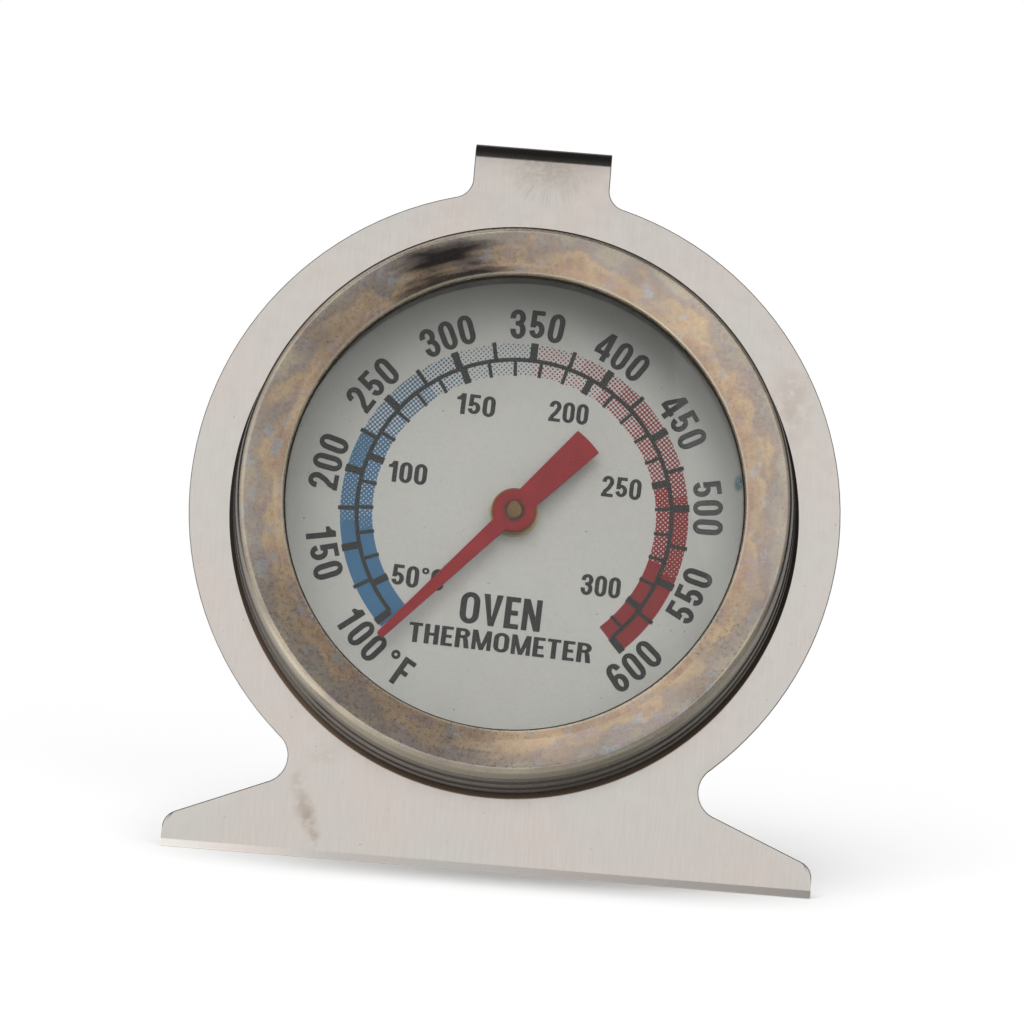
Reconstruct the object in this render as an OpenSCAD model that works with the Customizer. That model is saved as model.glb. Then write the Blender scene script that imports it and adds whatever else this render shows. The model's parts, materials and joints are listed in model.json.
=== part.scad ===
// Free-standing and hanging oven thermometer.
// A pressed sheet stand carries a round can with a bimetal coil movement.
// Axes: X across the dial, Y from front to back, Z up.
// Origin: middle of the foot's resting face. All lengths in millimetres.

/* [Stand] */
// Width of the foot and of the plate's lower corners
base_w = 63.5; // [60:0.5:70]
// Thickness of the stand sheet
sheet_t = 0.5; // [0.4:0.1:0.8]
// Depth of the foot from the fold to its rear edge
foot_depth = 28; // [22:1:34]
// Backward lean of the upright plate, in degrees
lean = 12; // [5:1:18]
// Inside radius of the fold between plate and foot
foot_bend_r = 0.2; // [0.2:0.1:1.5]
// Radius of the foot's rear corners
foot_corner_r = 5; // [2:0.5:8]
// Radius of the round part of the plate
disc_r = 32.2; // [30:0.1:35]
// Height of the disc's centre above the fold, along the plate
disc_v = 36; // [33:0.5:40]
// Height at which the sloping shoulder meets the plate's side
shoulder_v = 3.1; // [2:0.1:6]
// Slope of the shoulder, in degrees
shoulder_slope = 22.4; // [10:0.1:35]
// Radius of the corner between side and shoulder
shoulder_r = 1.7; // [0.5:0.1:3]
// Radius of the notch between shoulder and disc
notch_r = 2.65; // [1.5:0.05:5]

/* [Hanging hook] */
// Width of the hook strip
tab_w = 13.7; // [10:0.1:18]
// Height of the hook's top above the fold, along the plate
tab_top_v = 73; // [70:0.1:78]
// Fillet between the strip and the disc
tab_fillet_r = 2; // [1:0.1:4]
// Inside radius of the hook's bends
hook_bend_r = 1.2; // [0.5:0.1:2]
// Clear gap between the hook's two legs
hook_gap = 7; // [6:0.5:9]
// Length of the hook's rear leg below its bend
hook_leg = 8; // [5:0.5:12]
// Radius of the rear leg's lower corners
hook_corner_r = 2; // [0.5:0.5:4]

/* [Case] */
// Height of the dial's centre above the fold, along the plate
case_v = 35.4; // [34:0.1:37]
// Outside radius of the can behind the plate
can_rear_r = 24.9; // [23:0.1:26]
// Outside radius of the can in front of the plate
can_front_r = 26.5; // [25:0.1:27]
// Thickness of the can's sheet
can_t = 0.5; // [0.3:0.1:0.8]
// Depth of the can behind the plate's front face
can_depth = 7.5; // [6:0.5:10]
// Height of the can's front edge above the plate
can_front_h = 8.1; // [7:0.1:9]
// Gap between the can and the hole in the plate
hole_gap = 0.1; // [0.05:0.05:0.3]
// Radius of each vent hole in the can's floor
vent_r = 2; // [1:0.25:3]
// Radius of the circle the vent holes sit on
vent_circle_r = 14; // [12:0.5:19]
// Number of vent holes
vent_count = 4; // [3:1:8]
// Width of the ring that grips the can behind the plate
ring_w = 1.7; // [1:0.1:3]
// Thickness of that ring
ring_t = 0.8; // [0.5:0.1:1.5]

/* [Bezel and lens] */
// Radius of the bezel's flared rim on the plate
bezel_rim_r = 28.1; // [27:0.1:30]
// Radius of the opening inside the bezel's lip
bezel_lip_r = 22.3; // [21:0.1:24]
// Height of the bezel's crown above the plate
bezel_h = 11; // [8:0.1:12]
// Thickness of the bezel's sheet
bezel_t = 0.45; // [0.3:0.05:0.8]
// Height of the lip's underside above the plate
lip_h = 8.3; // [7:0.1:9]
// Radius of the lens, its cushion ring and the dial
lens_r = 25.9; // [24:0.1:26]
// Thickness of the glass lens
lens_t = 1.5; // [1:0.1:2]
// Thickness of the cushion ring above the lens
cushion_t = 0.5; // [0.3:0.1:1]
// Inside radius of the cushion ring
cushion_r = 22.2; // [21:0.1:24]
// Inside radius of the spacer between dial and lens
spacer_r = 23.1; // [22:0.1:24.5]
// Thickness of the spacer's sheet
spacer_t = 0.4; // [0.3:0.1:0.8]

/* [Dial and pointer] */
// Thickness of the dial
dial_t = 0.5; // [0.3:0.1:1]
// Resting direction of the pointer, clockwise from the top, in degrees
pointer_rest = -137.8; // [-160:0.1:140]
// Distance from the spindle to the pointer's tip
pointer_len = 18.1; // [15:0.1:20]
// Distance from the spindle to the pointer's broad end
tail_len = 10.1; // [6:0.1:12]
// Width across the broad end
tail_w = 3; // [1.5:0.1:4]
// Radius of the pointer's round hub
hub_r = 2.1; // [1.5:0.1:3]
// Thickness of the pointer
pointer_t = 0.3; // [0.2:0.05:0.5]

/* [Movement] */
// Radius of the spindle
spindle_r = 0.8; // [0.6:0.05:1.2]
// Radial running clearance between the spindle and its bushes
running_gap = 0.05; // [0.02:0.01:0.1]
// Thickness of the bridge strip
bridge_t = 0.6; // [0.4:0.1:1]
// Width of the bridge strip
bridge_w = 8; // [6:0.5:12]
// Reach of the bridge's web from the spindle
bridge_reach = 12; // [11:0.5:16]
// Width of the bimetal strip
coil_w = 3; // [2:0.5:4]
// Thickness of the bimetal strip
coil_t = 0.25; // [0.15:0.05:0.4]
// Outside radius of the coil
coil_r = 10; // [8:0.5:12]
// Number of turns in the coil
coil_turns = 5.25; // [3.25:1:7.25]
// Radius of the collet the coil winds from
collet_r = 2.1; // [1.6:0.1:3]

/* [Hidden] */
$fn = 96;
// Small gap left between loose pieces that would otherwise share a face
play = 0.02;
// Length that runs a cutting tool past the face it cuts
over = 1;
// Tiny overlap that keeps a round from only grazing the edge it blends into
graze = 0.01;
// Length by which the upright plate runs into the fold at its foot
weld = 0.05;
// Outside radius and tangent length of the foot's fold
foot_bend_o = foot_bend_r + sheet_t;
foot_tangent = foot_bend_o / tan((90 - lean) / 2);
// Outside radius of the hook's bends and the flat between them
hook_bend_o = hook_bend_r + sheet_t;
hook_flat = hook_gap - 2 * hook_bend_r;
hook_bend_v = tab_top_v - hook_bend_o;
// Shoulder line as a normal and its distance from the fold's middle
half_w = base_w / 2;
sh_nx = sin(shoulder_slope);
sh_ny = cos(shoulder_slope);
sh_c = sh_nx * half_w + sh_ny * shoulder_v;
// Centre of the round between side and shoulder
sc_x = half_w - shoulder_r;
sc_v = (sh_c - shoulder_r - sh_nx * sc_x) / sh_ny;
// Centre of the notch: touches the shoulder line and the disc
nl = sh_c + notch_r;
nd = disc_v * sh_ny - nl;
nt = disc_v * sh_nx - sqrt(pow(disc_r + notch_r, 2) - nd * nd);
notch_x = nl * sh_nx - nt * sh_ny;
notch_v = nl * sh_ny + nt * sh_nx;
// Centre of the fillet beside the hook strip
tf_x = tab_w / 2 + tab_fillet_r;
tf_v = disc_v + sqrt(pow(disc_r + tab_fillet_r, 2) - tf_x * tf_x);
// Levels along the dial's axis, measured forward from the plate's front face
dial_back = can_t;
dial_h = dial_back + dial_t;
lens_top = lip_h - cushion_t;
lens_h = lens_top - lens_t;
can_inner = can_front_r - can_t;
floor_h = can_t - can_depth;
// Points of the bezel's skirt, from the rim up to the step under the crown
skirt_low = [bezel_rim_r - 0.5, 1.8];
skirt_mid = [bezel_rim_r - 0.75, 4];
skirt_top = [bezel_rim_r - 1.1, 8.2];
// Outer edge of the crown and the small bevel that ends it
crown_r = bezel_rim_r - 1.6;
crown_bevel = 0.2;
// Rise of the lip's inner slope, and the height of the band that grips the can
lip_rise = 0.7;
grip_above = 0.3;
grip_below = 1.3;
// Bearing sizes: the front bush is the larger of the two
bush_r = 1.9;
rear_bush_r = 1.6;
bush_flange_r = 2.4;
bush_flange_t = 0.4;
// Spread and length of the riveted tails behind the bushes
bush_spread = 0.4;
front_tail = 0.4;
rear_tail = 0.3;
// Bridge levels
bridge_front = dial_back;
bridge_rear = -5.2;
// Coil levels and inner radius of the strip
coil_top = -1.2;
coil_in = collet_r + play + coil_t / 2;
coil_out = coil_r - coil_t / 2;
coil_step = 7.5;
// Straight tail of the coil and the rivet that holds it
tail_y = -3;
rivet_r = 0.5;
rivet_y = -1.7;
// Levels of the pointer's stack
washer_r = 1.7;
washer_t = 0.16;
hub_h = dial_h + bush_flange_t + washer_t + 2 * play;
hub_barrel_r = 1.5;
hub_barrel_h = 0.4;
hub_flange_t = 0.3;
pointer_h = hub_h + hub_barrel_h + hub_flange_t;
// Clip, its groove and the spindle's rear end
clip_r = 1.6;
clip_t = 0.25;
clip_h = -6.4;
clip_opening = 60;
groove_depth = 0.25;
spindle_end = -6.65;
// Bottom of the slot that holds the coil's hook, and the hook's inner end
slot_bottom = 1.3;
hook_end = 1.4;

// Frame of the leaning plate: Y' from front face to back, Z' up the plate
module on_plate() {
    translate([0, -foot_depth / 2, 0])
        rotate([-lean, 0, 0])
            children();
}

// Frame of the dial: X right, Y up the plate, Z forward from the plate
module on_dial() {
    on_plate()
        translate([0, 0, case_v])
            rotate([90, 0, 0])
                children();
}

// Curved strip about X, starting below its axis and turning to the front
module bend(width, r_in, sweep) {
    mirror([0, 1, 0])
        rotate([0, 90, 0])
            rotate_extrude(angle = sweep)
                translate([r_in, -width / 2])
                    square([sheet_t, width]);
}

// Flat ring between two radii and two levels on the dial's axis
module ring(r_out, r_in, low, high) {
    translate([0, 0, low])
        difference() {
            cylinder(h = high - low, r = r_out);
            translate([0, 0, -over])
                cylinder(h = high - low + 2 * over, r = r_in);
        }
}

// One side of the plate's foot, from the middle out to the notch
module foot_side() {
    sh_x = sc_x + shoulder_r * sh_nx;
    sh_v = sc_v + shoulder_r * sh_ny;
    union() {
        polygon([
            [0, 0], [half_w, 0], [half_w, sc_v],
            [sh_x, sh_v],
            [notch_x - notch_r * sh_nx, notch_v - notch_r * sh_ny],
            [notch_x, notch_v], [0, disc_v]
        ]);
        translate([sc_x, sc_v])
            circle(r = shoulder_r - graze);
    }
}

// Outline of the upright plate with its foot, disc and hook strip
module plate_outline() {
    difference() {
        union() {
            translate([0, disc_v])
                circle(r = disc_r, $fn = 180);
            for (side = [0, 1])
                mirror([side, 0])
                    foot_side();
            polygon([[0, disc_v], [tf_x, tf_v], [-tf_x, tf_v]]);
            translate([-tab_w / 2, disc_v])
                square([tab_w, hook_bend_v - disc_v]);
        }
        for (side = [-1, 1]) {
            translate([side * notch_x, notch_v])
                circle(r = notch_r + graze);
            translate([side * tf_x, tf_v])
                circle(r = tab_fillet_r + graze);
        }
        translate([0, case_v])
            circle(r = can_rear_r + hole_gap, $fn = 180);
        translate([-base_w, -over])
            square([2 * base_w, foot_tangent + over - weld]);
    }
}

// Strip running up from the X axis, its far corners rounded
module rounded_strip(width, length, r) {
    flat = width - 2 * r;
    translate([-width / 2, 0])
        square([width, length - r]);
    translate([-flat / 2, 0])
        square([flat, length]);
    for (side = [-1, 1])
        translate([side * flat / 2, length - r])
            circle(r = r - graze);
}

// Hook folded back from the top of the plate, with its rear leg
module hook() {
    leg_y = hook_bend_o + hook_flat + hook_bend_r;
    translate([0, hook_bend_o, hook_bend_v]) {
        rotate([-90, 0, 0])
            bend(tab_w, hook_bend_r, 90);
        translate([-tab_w / 2, 0, hook_bend_r])
            cube([tab_w, hook_flat, sheet_t]);
        translate([0, hook_flat, 0])
            rotate([180, 0, 0])
                bend(tab_w, hook_bend_r, 90);
    }
    translate([0, leg_y, hook_bend_v])
        rotate([-90, 0, 0])
            linear_extrude(sheet_t)
                rounded_strip(tab_w, hook_leg, hook_corner_r);
}

// Stand: upright plate, folded foot and hook from one sheet
module stand_plate() {
    color([0.78, 0.76, 0.73]) {
        on_plate() {
            translate([0, sheet_t, 0])
                rotate([90, 0, 0])
                    linear_extrude(sheet_t)
                        plate_outline();
            hook();
        }
        translate([0, foot_tangent - foot_depth / 2, foot_bend_o])
            bend(base_w, foot_bend_r, 90 + lean);
        translate([0, foot_tangent - foot_depth / 2, 0])
            linear_extrude(sheet_t)
                rounded_strip(base_w, foot_depth - foot_tangent, foot_corner_r);
    }
}

// Stepped can that holds the movement; its step rests on the plate
module case_can() {
    floor_out = -can_depth;
    corner = 1;
    color([0.72, 0.70, 0.67])
        on_dial()
            difference() {
                rotate_extrude($fn = 180)
                    polygon([
                        [0, floor_out], [can_rear_r - corner, floor_out],
                        [can_rear_r, floor_out + corner], [can_rear_r, 0],
                        [can_front_r, 0], [can_front_r, can_front_h],
                        [can_inner, can_front_h], [can_inner, can_t],
                        [can_rear_r - can_t, can_t],
                        [can_rear_r - can_t, floor_h + corner],
                        [can_rear_r - can_t - corner, floor_h],
                        [0, floor_h]
                    ]);
                for (i = [0:vent_count - 1])
                    rotate(45 + i * 360 / vent_count)
                        translate([vent_circle_r, 0, floor_out - over])
                            cylinder(h = can_t + 2 * over, r = vent_r);
            }
}

// Push-on ring that traps the plate against the can's step
module retaining_ring() {
    inner = can_rear_r + play;
    color([0.62, 0.61, 0.58])
        on_dial()
            ring(inner + ring_w, inner, -sheet_t - ring_t, -sheet_t);
}

// Drawn bezel: flared skirt, crown and a lip over the lens
module bezel_ring() {
    grip_r = can_front_r + play;
    color([0.66, 0.62, 0.55])
        on_dial()
            rotate_extrude($fn = 180)
                polygon([
                    [bezel_rim_r, 0], [bezel_rim_r, bezel_t],
                    skirt_low, skirt_mid, skirt_top,
                    [crown_r, bezel_h - crown_bevel], [crown_r - crown_bevel, bezel_h],
                    [bezel_lip_r + bezel_t, lip_h + lip_rise],
                    [bezel_lip_r, lip_h + bezel_t], [bezel_lip_r, lip_h],
                    [bezel_lip_r + bezel_t, lip_h],
                    [crown_r - bezel_t, bezel_h - bezel_t - crown_bevel],
                    [grip_r, can_front_h + grip_above], [grip_r, can_front_h - grip_below],
                    skirt_mid - [bezel_t, 0], skirt_low - [bezel_t, 0],
                    [bezel_rim_r - bezel_t, 0]
                ]);
}

// Heat-proof cushion between the bezel's lip and the lens
module lens_cushion() {
    color([0.2, 0.17, 0.15])
        on_dial()
            ring(lens_r, cushion_r, lens_top, lip_h);
}

// Flat glass lens
module glass_lens() {
    color([0.85, 0.9, 0.9, 0.3])
        on_dial()
            translate([0, 0, lens_h])
                cylinder(h = lens_t, r = lens_r, $fn = 180);
}

// Spacer: an upright wall with a flange under the lens
module spacer_ring() {
    color([0.6, 0.6, 0.58])
        on_dial()
            rotate_extrude($fn = 180)
                polygon([
                    [spacer_r, dial_h], [spacer_r + spacer_t, dial_h],
                    [spacer_r + spacer_t, lens_h - spacer_t],
                    [lens_r, lens_h - spacer_t], [lens_r, lens_h],
                    [spacer_r, lens_h]
                ]);
}

// Dial disc, held between the can's step and the spacer
module dial_plate() {
    color([0.69, 0.69, 0.66])
        on_dial()
            ring(lens_r, bush_r + play, dial_back, dial_h);
}

// Bridge: front leg behind the dial, web, and rear leg with the rear bush
module movement_bridge() {
    lug_x = -coil_r - bridge_t;
    lug_w = bridge_w / 2 + 1;
    lug_low = coil_top - coil_w;
    web_low = bridge_rear - bridge_t;
    color([0.6, 0.6, 0.6])
        on_dial()
            difference() {
                union() {
                    translate([lug_x, -bridge_w / 2, bridge_front - bridge_t])
                        cube([bridge_reach - lug_x, bridge_w, bridge_t]);
                    translate([bridge_reach - bridge_t, -bridge_w / 2, web_low])
                        cube([bridge_t, bridge_w, bridge_front - web_low]);
                    translate([0, -bridge_w / 2, web_low])
                        cube([bridge_reach, bridge_w, bridge_t]);
                    translate([0, 0, web_low])
                        cylinder(h = bridge_t, r = bridge_w / 2);
                    translate([lug_x, -bridge_w / 2, lug_low])
                        cube([bridge_t, lug_w, bridge_front - lug_low]);
                }
                translate([0, 0, bridge_front - bridge_t - over])
                    cylinder(h = bridge_t + 2 * over, r = bush_r + play);
                translate([0, 0, web_low - over])
                    cylinder(h = bridge_t + 2 * over, r = rear_bush_r + play);
                translate([lug_x - over, rivet_y, coil_top - coil_w / 2])
                    rotate([0, 90, 0])
                        cylinder(h = bridge_t + 2 * over, r = rivet_r + play);
            }
}

// Flanged bush: bore from low to high, flange at the front, tail behind
module bush(r, low, high, tail_low) {
    difference() {
        union() {
            translate([0, 0, tail_low])
                cylinder(h = high - tail_low, r = r);
            translate([0, 0, high - bush_flange_t])
                cylinder(h = bush_flange_t, r = bush_flange_r);
            translate([0, 0, tail_low])
                cylinder(h = low - tail_low, r = r + bush_spread);
        }
        translate([0, 0, tail_low - over])
            cylinder(h = high - tail_low + 2 * over, r = spindle_r + running_gap);
    }
}

// Front bearing, riveted through the dial and the bridge's front leg
module front_bush() {
    low = bridge_front - bridge_t;
    color([0.66, 0.55, 0.3])
        on_dial()
            bush(bush_r, low, dial_h + bush_flange_t, low - front_tail);
}

// Rear bearing, riveted through the bridge's rear leg
module rear_bush() {
    low = bridge_rear - bridge_t;
    color([0.66, 0.55, 0.3])
        on_dial()
            bush(rear_bush_r, low, bridge_rear + bush_flange_t, low - rear_tail);
}

// Thin thrust washer under the pointer's hub
module front_washer() {
    low = dial_h + bush_flange_t + play;
    color([0.7, 0.7, 0.7])
        on_dial()
            ring(washer_r, spindle_r + running_gap, low, low + washer_t);
}

// Thin thrust washer between the collet and the rear bush
module rear_washer() {
    low = bridge_rear + bush_flange_t + play;
    color([0.7, 0.7, 0.7])
        on_dial()
            ring(washer_r, spindle_r + running_gap, low, low + washer_t);
}

// Spindle with a riveted front end and a groove for its clip
module spindle() {
    head_r = spindle_r + 0.1;
    head_low = pointer_h + pointer_t;
    head_t = 0.12;
    color([0.6, 0.52, 0.28])
        on_dial()
            difference() {
                union() {
                    translate([0, 0, spindle_end])
                        cylinder(h = head_low - spindle_end, r = spindle_r);
                    translate([0, 0, head_low])
                        cylinder(h = head_t, r = head_r);
                    translate([0, 0, head_low + head_t])
                        cylinder(h = head_t, r1 = head_r, r2 = head_r - 0.2);
                }
                ring(spindle_r + over, spindle_r - groove_depth, clip_h, clip_h + clip_t + play);
            }
}

// Open clip in the spindle's groove behind the rear bush
module spindle_clip() {
    inner = spindle_r - groove_depth + play;
    color([0.45, 0.45, 0.46])
        on_dial()
            translate([0, 0, clip_h + play / 2])
                rotate(clip_opening / 2)
                    rotate_extrude(angle = 360 - clip_opening)
                        translate([inner, 0])
                            square([clip_r - inner, clip_t]);
}

// Collet pressed on the spindle, slotted for the coil's inner end
module coil_collet() {
    low = bridge_rear + bush_flange_t + washer_t + 2 * play;
    color([0.66, 0.55, 0.3])
        on_dial()
            difference() {
                ring(collet_r, spindle_r + play / 2, low, coil_top);
                translate([-coil_t / 2 - play, slot_bottom, coil_top - coil_w - play])
                    cube([coil_t + 2 * play, collet_r, coil_w + over]);
            }
}

// Radius of the coil's centre line at a given turn angle
function coil_radius(a) = coil_in + (coil_out - coil_in) * a / (360 * coil_turns);

// Point on the strip, offset sideways from its centre line
function coil_point(a, side) =
    let (r = coil_radius(a) + side * coil_t / 2, t = a + 180 - 360 * coil_turns)
    [r * cos(t), r * sin(t)];

// Spiral bimetal strip with a hooked inner end and a straight outer tail
module bimetal_coil() {
    steps = [0:coil_step:360 * coil_turns];
    back = [360 * coil_turns:-coil_step:0];
    color([0.55, 0.53, 0.5])
        on_dial()
            difference() {
                translate([0, 0, coil_top - coil_w])
                    linear_extrude(coil_w) {
                        polygon(concat(
                            [for (a = steps) coil_point(a, 1)],
                            [for (a = back) coil_point(a, -1)]
                        ));
                        translate([-coil_t / 2, hook_end])
                            square([coil_t, coil_in - hook_end]);
                        translate([-coil_r, tail_y])
                            square([coil_t, -tail_y]);
                    }
                translate([-coil_r - over, rivet_y, coil_top - coil_w / 2])
                    rotate([0, 90, 0])
                        cylinder(h = 2 * over, r = rivet_r + play);
            }
}

// Rivet through the bridge's tab and the coil's tail
module coil_rivet() {
    head_t = 0.3;
    head_r = 0.9;
    grip = bridge_t + coil_t;
    color([0.6, 0.6, 0.6])
        on_dial()
            translate([-coil_r - bridge_t, rivet_y, coil_top - coil_w / 2])
                rotate([0, 90, 0]) {
                    cylinder(h = grip, r = rivet_r);
                    translate([0, 0, -head_t])
                        cylinder(h = head_t, r = head_r);
                    translate([0, 0, grip])
                        cylinder(h = head_t, r = head_r);
                }
}

// Brass hub under the pointer, pressed on the spindle
module pointer_hub() {
    flange_r = hub_r + 0.15;
    color([0.62, 0.52, 0.28])
        on_dial() {
            ring(hub_barrel_r, spindle_r + play / 2, hub_h, hub_h + hub_barrel_h);
            ring(flange_r, spindle_r + play / 2, hub_h + hub_barrel_h, pointer_h);
        }
}

// Outline of the pointer's slender front blade, tip upwards
module blade_outline() {
    root_x = 0.85;
    mid_x = 0.6;
    tip_x = 0.4;
    nose = 0.25;
    mid = pointer_len / 2;
    shoulder = pointer_len - nose;
    polygon([
        [-root_x, 0], [-mid_x, mid], [-tip_x, shoulder], [-nose, pointer_len],
        [nose, pointer_len], [tip_x, shoulder], [mid_x, mid], [root_x, 0]
    ]);
}

// Broad rear end of the pointer, cut to an arc about the spindle
module pointer_tail() {
    root = 1.1;
    flare = tail_w / 2 + 0.05;
    intersection() {
        cylinder(h = pointer_t, r = tail_len, $fn = 180);
        linear_extrude(pointer_t)
            polygon([
                [-root, 0], [root, 0],
                [flare, -tail_len - 1], [-flare, -tail_len - 1]
            ]);
    }
}

// Flat pointer with a slender tip and a broad tail
module pointer() {
    color([0.61, 0.21, 0.23])
        on_dial()
            translate([0, 0, pointer_h])
                rotate(-pointer_rest)
                    difference() {
                        union() {
                            cylinder(h = pointer_t, r = hub_r);
                            linear_extrude(pointer_t)
                                blade_outline();
                            pointer_tail();
                        }
                        translate([0, 0, -over])
                            cylinder(h = pointer_t + 2 * over, r = spindle_r + play / 2);
                    }
}

stand_plate();
case_can();
retaining_ring();
bezel_ring();
lens_cushion();
glass_lens();
spacer_ring();
dial_plate();
movement_bridge();
front_bush();
rear_bush();
front_washer();
rear_washer();
spindle();
spindle_clip();
coil_collet();
bimetal_coil();
coil_rivet();
pointer_hub();
pointer();
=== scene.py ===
import json
import math
import bmesh
import bpy
import numpy as np
from mathutils.bvhtree import BVHTree
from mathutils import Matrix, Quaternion, Vector
from mathutils.geometry import delaunay_2d_cdt

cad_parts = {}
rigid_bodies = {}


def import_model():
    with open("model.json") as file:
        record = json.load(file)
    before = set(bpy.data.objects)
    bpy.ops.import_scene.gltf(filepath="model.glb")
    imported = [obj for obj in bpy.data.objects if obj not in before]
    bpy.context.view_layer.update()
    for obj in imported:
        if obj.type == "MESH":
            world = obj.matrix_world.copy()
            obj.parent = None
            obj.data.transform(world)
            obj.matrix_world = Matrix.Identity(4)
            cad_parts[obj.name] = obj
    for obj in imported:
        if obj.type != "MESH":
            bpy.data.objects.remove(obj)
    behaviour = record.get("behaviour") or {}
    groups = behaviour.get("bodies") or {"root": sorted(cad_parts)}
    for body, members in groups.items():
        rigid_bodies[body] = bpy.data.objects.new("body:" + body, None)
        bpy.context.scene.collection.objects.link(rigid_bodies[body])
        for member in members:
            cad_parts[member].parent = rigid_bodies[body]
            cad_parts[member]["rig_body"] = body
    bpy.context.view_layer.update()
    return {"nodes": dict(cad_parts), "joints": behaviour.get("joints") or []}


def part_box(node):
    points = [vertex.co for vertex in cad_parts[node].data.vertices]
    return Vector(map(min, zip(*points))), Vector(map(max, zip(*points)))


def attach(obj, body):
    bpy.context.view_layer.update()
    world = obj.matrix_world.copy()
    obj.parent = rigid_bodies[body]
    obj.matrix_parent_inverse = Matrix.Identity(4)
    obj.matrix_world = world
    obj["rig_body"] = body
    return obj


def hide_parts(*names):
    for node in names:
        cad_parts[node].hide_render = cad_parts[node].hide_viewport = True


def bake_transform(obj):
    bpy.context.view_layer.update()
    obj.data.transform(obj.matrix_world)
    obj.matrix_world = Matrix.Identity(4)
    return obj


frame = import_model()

MM = 0.001
JOINT = frame["joints"][0]
CENTRE = Vector(JOINT["pos_m"])
FORWARD = -Vector(JOINT["axis"]).normalized()
RIGHT = Vector((1, 0, 0))
UP = FORWARD.cross(RIGHT)
FIXED, TURNING = JOINT["parent"], JOINT["child"]


def place(x, y, h):
    """A point of the dial's frame, in metres in the row frame."""
    return CENTRE + (RIGHT * x + UP * y + FORWARD * h) * MM


def dial_points(node):
    """A CAD node's vertices in the dial's frame, one row each."""
    co = np.array([v.co for v in frame["nodes"][node].data.vertices], float)
    axes = np.array([RIGHT, UP, FORWARD]).T
    return (co - np.array(CENTRE)) @ axes / MM


class Span:
    """A node's inner and outer radius and its low and high level."""

    def __init__(self, node):
        p = dial_points(node)
        r = np.hypot(p[:, 0], p[:, 1])
        self.r0, self.r1 = float(r.min()), float(r.max())
        self.low, self.high = float(p[:, 2].min()), float(p[:, 2].max())


bezel = Span("bezel_ring")
dial = Span("dial_plate")
lens = Span("glass_lens")
stand = dial_points("stand_plate")
hook_top = float(stand[:, 1].max())


# ---------------------------------------------------------------- materials
def rgb(red, green, blue):
    """Linear colour from display values of 0 to 255."""
    def linear(v):
        v /= 255
        return v / 12.92 if v <= 0.04045 else ((v + 0.055) / 1.055) ** 2.4
    return (linear(red), linear(green), linear(blue), 1.0)


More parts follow.
